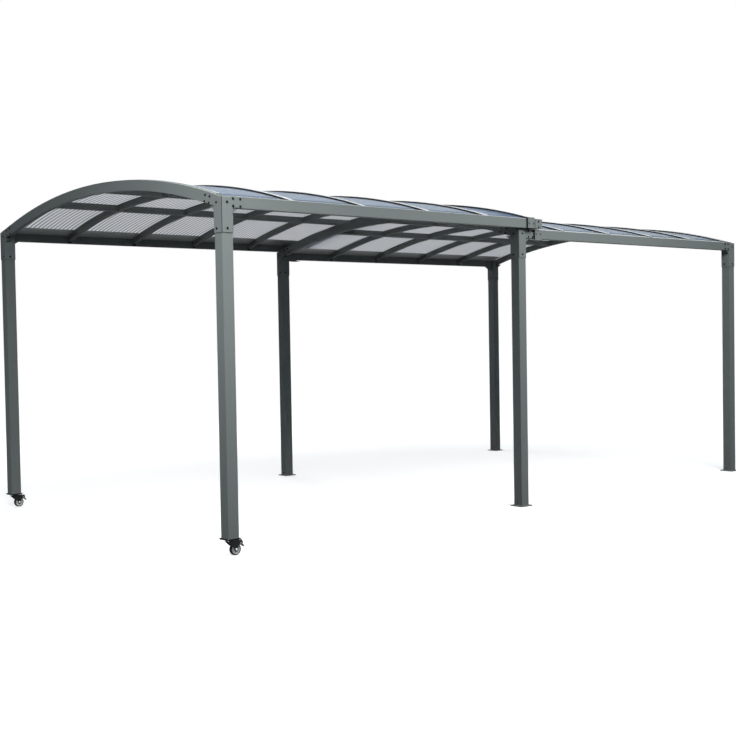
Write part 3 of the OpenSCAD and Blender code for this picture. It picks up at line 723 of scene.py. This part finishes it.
def make_screws(fixed, moving, materials):
    """The screws of the brackets and the black strips of painted shade in their seams, one piece for
    each corner.

    The pieces of the fixed corners hold the small screw at the post's foot as well.
    """
    for side_name, side in SIDES.items():
        shape = Shape()
        corner_screws(shape, moving, moving.left_x, 1, side, f"moving_{side_name}_bracket")
        corner_slit_shade(shape, moving, moving.left_x, 1, side, f"moving_{side_name}_bracket")
        piece(f"moving_{side_name}_bracket_screws", shape, [materials["black"]], moving.body)
        shape = Shape()
        end_screws(shape, moving, side)
        piece(f"moving_{side_name}_end_screws", shape, [materials["black"]], moving.body)
        for end, x_outer, inward in (("left", fixed.left_x, 1), ("right", fixed.right_x, -1)):
            shape = Shape()
            corner_screws(shape, fixed, x_outer, inward, side, f"fixed_{side_name}_{end}_bracket")
            corner_slit_shade(shape, fixed, x_outer, inward, side, f"fixed_{side_name}_{end}_bracket")
            x_foot = x_outer if inward > 0 else x_outer - POST_WIDTH
            foot = (x_foot, side * (fixed.outer_y - FOOT_SCREW_REACH), FOOT_SCREW_HEIGHT)
            screw(shape, foot, (-1, 0, 0), SMALL_SCREW)
            piece(f"fixed_{side_name}_{end}_screws", shape, [materials["black"]], fixed.body)


# ---- rafter feet and purlin cleats ----

# Half the widths of the CAD's rafters and purlins.
RAFTER_HALF = 0.015
PURLIN_HALF = 0.02
STRAP = 0.003
STRAP_MARGIN = 0.005
STRAP_SCREW_SHARES = (0.3, 0.7)
CLEAT_LEG = 0.026
CLEAT_PLATE = 0.0025
CLEAT_TOP = 0.009
CLEAT_DEPTH = 0.032


def make_rafter_feet(canopy, materials):
    """A strap on the inner face of each beam, under the foot of each rafter."""
    shape = Shape()
    inner = -canopy.beam_high.y
    bottom, top = canopy.beam_low.z + STRAP_MARGIN, canopy.beam_high.z - STRAP_MARGIN
    for x in canopy.rafters:
        for side in SIDES.values():
            faces = sorted((side * inner, side * (inner - STRAP)))
            shape.block((x - RAFTER_HALF, faces[0], bottom), (x + RAFTER_HALF, faces[1], top))
            for share in STRAP_SCREW_SHARES:
                z = bottom + share * (top - bottom)
                screw(shape, (x, side * (inner - STRAP), z), (0, -side, 0), SMALL_SCREW, sides=10)
    piece(f"{canopy.name}_rafter_feet", shape, [materials["black"]], canopy.body,
          bevel=PLATE_BEVEL)


def make_cleats(canopy, materials):
    """Angle cleats that join the purlins to the rafters, in two opposite corners of each crossing."""
    shape = Shape()
    under = canopy.sheet_top - SHEET_THICKNESS
    purlins = [(low + high) / 2 for low, high in spans(canopy.name + "_purlins", 1)]
    for y in purlins:
        tilt = Matrix.Rotation(-math.asin(y / canopy.sheet_top), 4, "X")
        for x in canopy.rafters:
            for turn in (0, math.pi):
                place = Matrix.Translation((x, 0, canopy.axis)) @ tilt @ Matrix.Rotation(turn, 4, "Z")
                x_face, y_face = -RAFTER_HALF, -PURLIN_HALF
                outline = [
                    (x_face, y_face), (x_face - CLEAT_LEG, y_face),
                    (x_face - CLEAT_LEG, y_face - CLEAT_PLATE),
                    (x_face - CLEAT_PLATE, y_face - CLEAT_PLATE),
                    (x_face - CLEAT_PLATE, y_face - CLEAT_LEG), (x_face, y_face - CLEAT_LEG)]
                shape.plate(outline, under - CLEAT_TOP - CLEAT_DEPTH, under - CLEAT_TOP, place)
    piece(f"{canopy.name}_purlin_cleats", shape, [materials["paint"]], canopy.body)


# ---- guides ----

GUIDE_PLATE = 0.004
GUIDE_SCREW_REACH = 0.026
FLUSH_SCREW = [(0.0072, 0), (0.0068, FLUSH), (0.003, FLUSH), (0.0028, -0.0012)]


def make_guides(canopy, materials):
    """A painted plate over black end pieces, held by two flush screws.

    A guide that hangs below its beam has a painted plate at its foot too.
    """
    middle = (canopy.beam_low.z + canopy.beam_high.z) / 2
    for side_name, side in SIDES.items():
        node = f"{canopy.name}_{side_name}_guide"
        low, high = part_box(node)
        outer = max(abs(low.y), abs(high.y))
        inner = min(abs(low.y), abs(high.y))
        shape = Shape()

        def across(near, far):
            """Two distances from the middle as places along Y on this side, the lower one first."""
            return sorted((side * near, side * far))

        near, far = across(outer - GUIDE_PLATE, outer - FLUSH)
        shape.block((low.x, near, low.z), (high.x, far, high.z))
        near, far = across(canopy.outer_y, outer - GUIDE_PLATE)
        bottom = max(low.z, canopy.beam_low.z)
        for x in (low.x, high.x - GUIDE_PLATE):
            shape.block((x, near, bottom), (x + GUIDE_PLATE, far, high.z), kind=1)
        if low.z < canopy.beam_low.z - TOUCH:
            near, far = across(inner, outer - GUIDE_PLATE)
            shape.block((low.x, near, low.z), (high.x, far, low.z + GUIDE_PLATE))
        for reach in (-GUIDE_SCREW_REACH, GUIDE_SCREW_REACH):
            place = facing(((low.x + high.x) / 2 + reach, side * (outer - FLUSH), middle), (0, side, 0))
            shape.turned(FLUSH_SCREW, place, kind=2, sides=16)
        piece(f"{canopy.name}_{side_name}_guide_plate", shape,
              [materials["paint"], materials["nylon"], materials["black"]], canopy.body,
              [node], bevel=PLATE_BEVEL)


# ---- casters ----

JOINTS = {joint["name"]: joint for joint in frame["joints"]}
# Outlines of half a wheel, as pairs of a radius and a distance from its middle plane.
TYRE_HALF = [(0.0369, 0), (0.0375, 0.0016), (0.0375, 0.007), (0.0362, 0.0105), (0.0325, 0.0119),
             (0.0285, 0.0105)]
DISC_HALF = [(0.0287, 0.0108), (0.0262, 0.0088), (0.016, 0.0066), (0.0108, 0.0072), (0.0095, 0.0116),
             (0.0043, 0.0116)]
SPOKES = 6
SPOKE_OUTLINE = [(0.0105, -0.0011), (0.026, -0.0008), (0.026, 0.0008), (0.0105, 0.0011)]
SPOKE_NEAR = 0.006
SPOKE_FAR = 0.0084
FORK_INNER = 0.014
FORK_OUTER = 0.017
FORK_TOP = 0.0937
CROWN_REACH = 0.0275
CROWN_THICKNESS = 0.003
# The round parts of a caster, as pairs of a radius and a height along their axis.
RACE = [(0.027, FORK_TOP), (0.028, FORK_TOP + 0.001), (0.028, 0.0965), (0.0265, 0.0977)]
KINGPIN = [(0.006, FORK_TOP), (0.006, 0.105), (0.005, 0.1058)]
AXLE = [(0.004, -FORK_OUTER), (0.004, FORK_OUTER)]
AXLE_CAP = [(0.0088, 0), (0.0088, 0.0012), (0.0075, 0.0028), (0.0045, 0.0038)]
BRAKE_PIN = [(0.003, -0.0168), (0.003, 0.0168)]
BRAKE_PIN_HEAD = [(0.0036, 0), (0.0036, 0.0014), (0.0026, 0.0026)]
# The pale ring on each end of the brake pin is a painted highlight.
BRAKE_PIN_HIGHLIGHT_RING = [(0.004, 0), (0.0062, 0), (0.0062, 0.0011), (0.004, 0.0011)]
BRAKE_PIN_END = 0.0172
TREAD_RIB = [(0.0016, 0), (0.0016, 0.0024)]
# A cheek's round eye and ear, and the lever's hub, each from one angle to another in degrees.
EYE_RADIUS = 0.015
EYE_TURN = (15, -195)
EAR_RADIUS = 0.0145
EAR_TURN = (88, -85)
EAR_RISE = 0.004
LEVER_HUB_RADIUS = 0.006
LEVER_HUB_TURN = (60, 235)
# The lever's other outlines, as pairs of a reach and a rise from the brake pin's axis.
LEVER_TREAD = [(0.002, -0.0082), (0.0275, -0.0255), (0.0305, -0.02), (0.012, -0.0005)]
LEVER_TAB = [(0.001, 0.0045), (0.0055, 0.001), (0.0165, 0.019), (0.0125, 0.0205)]
LEVER_HALF_WIDTH = 0.009
RIB_REACH = 0.0225
RIB_DROP = 0.0175
RIB_PITCH = 0.006
RIB_HALF_LENGTH = 0.0012
PLATE_BOLT_INSET = 0.0045
PLATE_BOLT_HEAD = [(0.0032, 0), (0.0032, 0.0016), (0.0022, 0.0024)]
PLATE_BOLT_NUT = [(0.0042, 0), (0.0042, 0.003), (0.0026, 0.003), (0.0026, 0.0042)]


def caster_place(side_name):
    """The swivel axis at the ground, with local X along the trail, and the wheel and pin in it."""
    swivel, wheel, pin = (Vector(JOINTS[side_name + name]["pos_m"])
                          for name in ("_caster_swivel", "_wheel_spin", "_brake"))
    turn = math.atan2(wheel.y - swivel.y, wheel.x - swivel.x)
    place = Matrix.Translation((swivel.x, swivel.y, 0)) @ Matrix.Rotation(turn, 4, "Z")
    back = place.inverted()
    return place, back @ wheel, back @ pin


def both_halves(half):
    """A closed outline from its upper half, whose points start at the rim."""
    return [(radius, -height) for radius, height in reversed(half) if height] + half


def make_wheel(side_name, place, wheel, materials):
    """A tyre on a grey disc with spokes, open at its bore."""
    axle = place @ facing(wheel, (0, 1, 0))
    shape = Shape()
    shape.turned(both_halves(TYRE_HALF), axle, kind=0, sides=64, hoop=True)
    shape.turned(both_halves(DISC_HALF), axle, kind=1, sides=48, hoop=True)
    for k in range(SPOKES):
        spoke = axle @ Matrix.Rotation(2 * math.pi * k / SPOKES, 4, "Z")
        for low, high in ((-SPOKE_FAR, -SPOKE_NEAR), (SPOKE_NEAR, SPOKE_FAR)):
            shape.plate(SPOKE_OUTLINE, low, high, spoke, kind=1)
    piece(f"{side_name}_tyre_and_disc", shape, [materials["rubber"], materials["disc"]],
          f"{side_name}_wheel", [f"{side_name}_caster_wheel"])


def fork_cheek(wheel, pin):
    """The outline of a cheek in local X and Z: crown, brake ear, arm, axle eye and front edge."""
    ear = arc_points((pin.x, pin.z + EAR_RISE), EAR_RADIUS, *EAR_TURN, steps=12)
    eye = arc_points((wheel.x, wheel.z), EYE_RADIUS, *EYE_TURN, steps=14)
    arm = [(pin.x - 0.012, pin.z - 0.009), (wheel.x + 0.015, wheel.z + 0.016)]
    front = [(wheel.x - 0.018, wheel.z + 0.013), (-0.008, 0.071), (-0.024, 0.0855),
             (-CROWN_REACH, 0.0885)]
    return [(-CROWN_REACH, FORK_TOP), (CROWN_REACH, FORK_TOP)] + ear + arm + eye + front


def make_fork(side_name, place, wheel, pin, materials):
    """A pressed fork with its race and kingpin, and the axle bolt with its pale caps."""
    shape = Shape()
    standing = place @ Matrix.Rotation(math.pi / 2, 4, "X")
    outline = fork_cheek(wheel, pin)
    for low, high in ((-FORK_OUTER, -FORK_INNER), (FORK_INNER, FORK_OUTER)):
        shape.plate(outline, low, high, standing)
    crown = [(-CROWN_REACH, -FORK_INNER), (CROWN_REACH, -FORK_INNER),
             (CROWN_REACH, FORK_INNER), (-CROWN_REACH, FORK_INNER)]
    shape.plate(crown, FORK_TOP - CROWN_THICKNESS, FORK_TOP, place)
    shape.turned(RACE, place, sides=40)
    shape.turned(KINGPIN, place, kind=1)
    shape.turned(AXLE, place @ facing(wheel, (0, 1, 0)), kind=1)
    for side in (-1, 1):
        end = wheel + Vector((0, side * FORK_OUTER, 0))
        shape.turned(AXLE_CAP, place @ facing(end, (0, side, 0)), kind=2)
    piece(f"{side_name}_fork", shape, [materials["black"], materials["zinc"], materials["white"]],
          f"{side_name}_caster", [f"{side_name}_caster_fork"], bevel=FORK_BEVEL)


def make_pedal(side_name, place, pin, materials):
    """A lever on the brake pin: a round hub, a ribbed tread that dips back and a tab that lifts it.

    The pin turns in the fork's cheeks and shows outside them, with a pale ring on each end that is a
    painted highlight.
    """
    shape = Shape()
    standing = place @ Matrix.Rotation(math.pi / 2, 4, "X")
    hub = arc_points((pin.x, pin.z), LEVER_HUB_RADIUS, *LEVER_HUB_TURN, steps=12)
    tread, tab = ([(pin.x + reach, pin.z + rise) for reach, rise in outline]
                  for outline in (LEVER_TREAD, LEVER_TAB))
    for outline in (hub + tread, tab):
        shape.plate(outline, -LEVER_HALF_WIDTH, LEVER_HALF_WIDTH, standing)
    for middle in (-RIB_PITCH, 0, RIB_PITCH):
        end = Vector((pin.x + RIB_REACH, middle - RIB_HALF_LENGTH, pin.z - RIB_DROP))
        shape.turned(TREAD_RIB, place @ facing(end, (0, 1, 0)), sides=8)
    shape.turned(BRAKE_PIN, place @ facing(Vector((pin.x, 0, pin.z)), (0, 1, 0)))
    for side in (-1, 1):
        end = place @ facing(Vector((pin.x, side * BRAKE_PIN_END, pin.z)), (0, side, 0))
        shape.turned(BRAKE_PIN_HEAD, end)
        shape.turned(BRAKE_PIN_HIGHLIGHT_RING, end, kind=1, sides=32, hoop=True)
    piece(f"{side_name}_brake_lever", shape, [materials["black"], materials["white"]],
          f"{side_name}_pedal", [f"{side_name}_brake_pedal"], bevel=PLATE_BEVEL)


def make_plate_bolts(side_name, materials):
    """Four bolts that hold the caster plate to the foot plate, heads above and nuts below."""
    low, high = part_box(f"{side_name}_caster_plate")
    foot_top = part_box(f"moving_{side_name}_post")[0].z + BRACKET_PLATE
    plate_bottom = high.z - BRACKET_PLATE
    shape = Shape()
    for x in (low.x + PLATE_BOLT_INSET, high.x - PLATE_BOLT_INSET):
        for y in (low.y + PLATE_BOLT_INSET, high.y - PLATE_BOLT_INSET):
            shape.turned(PLATE_BOLT_HEAD, facing((x, y, foot_top), (0, 0, 1)), sides=12)
            shape.turned(PLATE_BOLT_NUT, facing((x, y, plate_bottom), (0, 0, -1)), sides=6)
    piece(f"{side_name}_plate_bolts", shape, [materials["zinc"]], "moving_canopy")


def make_casters(materials):
    """The front and the rear caster, with their bolts."""
    for side_name in SIDES:
        place, wheel, pin = caster_place(side_name)
        make_wheel(side_name, place, wheel, materials)
        make_fork(side_name, place, wheel, pin, materials)
        make_pedal(side_name, place, pin, materials)
        make_plate_bolts(side_name, materials)


# ---- stage ----

FLOOR_HALF_SIZE = 60
FLOOR_DROP = 0.001
# The floor's glow near the object and far out, and the distances between which it rises.
FLOOR_GLOW = (0.58, 0.86)
FLOOR_REACH = (2.5, 6)
FLOOR_PALE = 0.6
FLOOR_BOUNCE = 0.1
WORLD_LIGHT = 0.34
WORLD_TINT = (0.86, 0.97, 1.05)


def seen_rays(tree):
    """1 for rays that show the backdrop: camera, glossy and transmission rays."""
    paths = tree.nodes.new("ShaderNodeLightPath")
    sharp = math_node(tree, "MAXIMUM", paths.outputs["Is Camera Ray"], paths.outputs["Is Glossy Ray"])
    return math_node(tree, "MAXIMUM", sharp, paths.outputs["Is Transmission Ray"])


def make_floor():
    """A white floor that keeps the object's shadow, glows more far out, and throws little light up."""
    mesh = bpy.data.meshes.new("floor")
    builder = bmesh.new()
    bmesh.ops.create_grid(builder, x_segments=4, y_segments=4, size=FLOOR_HALF_SIZE)
    builder.to_mesh(mesh)
    builder.free()
    floor = bpy.data.objects.new("floor", mesh)
    bpy.context.scene.collection.objects.link(floor)
    floor.location.z = -FLOOR_DROP
    material, tree, output = new_material("floor_white")
    pale = tree.nodes.new("ShaderNodeBsdfDiffuse")
    pale.inputs["Color"].default_value = (FLOOR_PALE, FLOOR_PALE, FLOOR_PALE, 1)
    glow = tree.nodes.new("ShaderNodeEmission")
    away = tree.nodes.new("ShaderNodeVectorMath")
    away.operation = "LENGTH"
    tree.links.new(tree.nodes.new("ShaderNodeTexCoord").outputs["Object"], away.inputs[0])
    tree.links.new(span_node(tree, away.outputs["Value"], *FLOOR_REACH, *FLOOR_GLOW),
                   glow.inputs["Strength"])
    both = tree.nodes.new("ShaderNodeAddShader")
    tree.links.new(pale.outputs[0], both.inputs[0])
    tree.links.new(glow.outputs[0], both.inputs[1])
    dark = tree.nodes.new("ShaderNodeBsdfDiffuse")
    dark.inputs["Color"].default_value = (FLOOR_BOUNCE, FLOOR_BOUNCE, FLOOR_BOUNCE, 1)
    mix = tree.nodes.new("ShaderNodeMixShader")
    tree.links.new(seen_rays(tree), mix.inputs["Fac"])
    tree.links.new(dark.outputs[0], mix.inputs[1])
    tree.links.new(both.outputs[0], mix.inputs[2])
    tree.links.new(mix.outputs[0], output.inputs["Surface"])
    mesh.materials.append(material)


def make_world():
    """White behind the object, and a soft cool light on it."""
    world = bpy.data.worlds.new("white")
    bpy.context.scene.world = world
    world.use_nodes = True
    tree = world.node_tree
    tree.nodes.clear()
    output = tree.nodes.new("ShaderNodeOutputWorld")
    white = tree.nodes.new("ShaderNodeBackground")
    white.inputs["Strength"].default_value = 1
    white.inputs["Color"].default_value = (1, 1, 1, 1)
    light = tree.nodes.new("ShaderNodeBackground")
    light.inputs["Strength"].default_value = WORLD_LIGHT
    light.inputs["Color"].default_value = (*WORLD_TINT, 1)
    mix = tree.nodes.new("ShaderNodeMixShader")
    tree.links.new(seen_rays(tree), mix.inputs["Fac"])
    tree.links.new(light.outputs[0], mix.inputs[1])
    tree.links.new(white.outputs[0], mix.inputs[2])
    tree.links.new(mix.outputs[0], output.inputs["Surface"])


def area_light(name, place, target, size, power, spread=180):
    """A soft rectangular lamp, with its spread in degrees, that doesn't show in reflections."""
    data = bpy.data.lights.new(name, "AREA")
    data.shape = "RECTANGLE"
    data.size, data.size_y = size
    data.energy = power
    data.spread = math.radians(spread)
    lamp = bpy.data.objects.new(name, data)
    bpy.context.scene.collection.objects.link(lamp)
    lamp.location = place
    lamp.rotation_euler = (Vector(target) - Vector(place)).to_track_quat("-Z", "Y").to_euler()
    lamp.visible_glossy = False


def make_lights():
    """A large light from the front, one from behind, and a narrow one on the left arch and posts."""
    area_light("front_light", place=(0.1, -4.6, 4.8), target=(0.0, -1.0, 1.4), size=(2.5, 2),
               power=252)
    area_light("back_light", place=(1.5, 6.5, 4.6), target=(0.2, 0.8, 1.5), size=(3, 2.5),
               power=150)
    area_light("left_light", place=(-4.9, -3.3, 3.7), target=(-2.9, -0.6, 1.3), size=(1.3, 1.3),
               power=27, spread=64)


# ---- making ----

# Every other node that shows is in plain paint.
NODE_FINISHES = {
    "track_rollers": "nylon",
    "front_caster_plate": "black",
    "rear_caster_plate": "black",
    "moving_front_post": "footed",
    "moving_rear_post": "footed",
    # The eave strips are in the pale lip coat, a painted highlight.
    "moving_eave_strips": "lip",
    "fixed_eave_strips": "lip",
}


def finish_cad_nodes(materials):
    """Gives the CAD nodes their finishes. Nodes that a piece replaces get one too, but don't show."""
    for name, node in NODES.items():
        node.data.materials.clear()
        node.data.materials.append(materials[NODE_FINISHES.get(name, "paint")])


bpy.context.scene.view_settings.view_transform = "Standard"
make_camera()
make_floor()
make_world()
make_lights()
finishes = make_materials()
finish_cad_nodes(finishes)
fixed_canopy = Canopy("fixed")
moving_canopy = Canopy("moving")
for canopy in (fixed_canopy, moving_canopy):
    make_sheets(canopy, finishes)
    make_glazing_bars(canopy, finishes)
    make_rafter_feet(canopy, finishes)
    make_cleats(canopy, finishes)
    make_guides(canopy, finishes)
make_screws(fixed_canopy, moving_canopy, finishes)
make_casters(finishes)
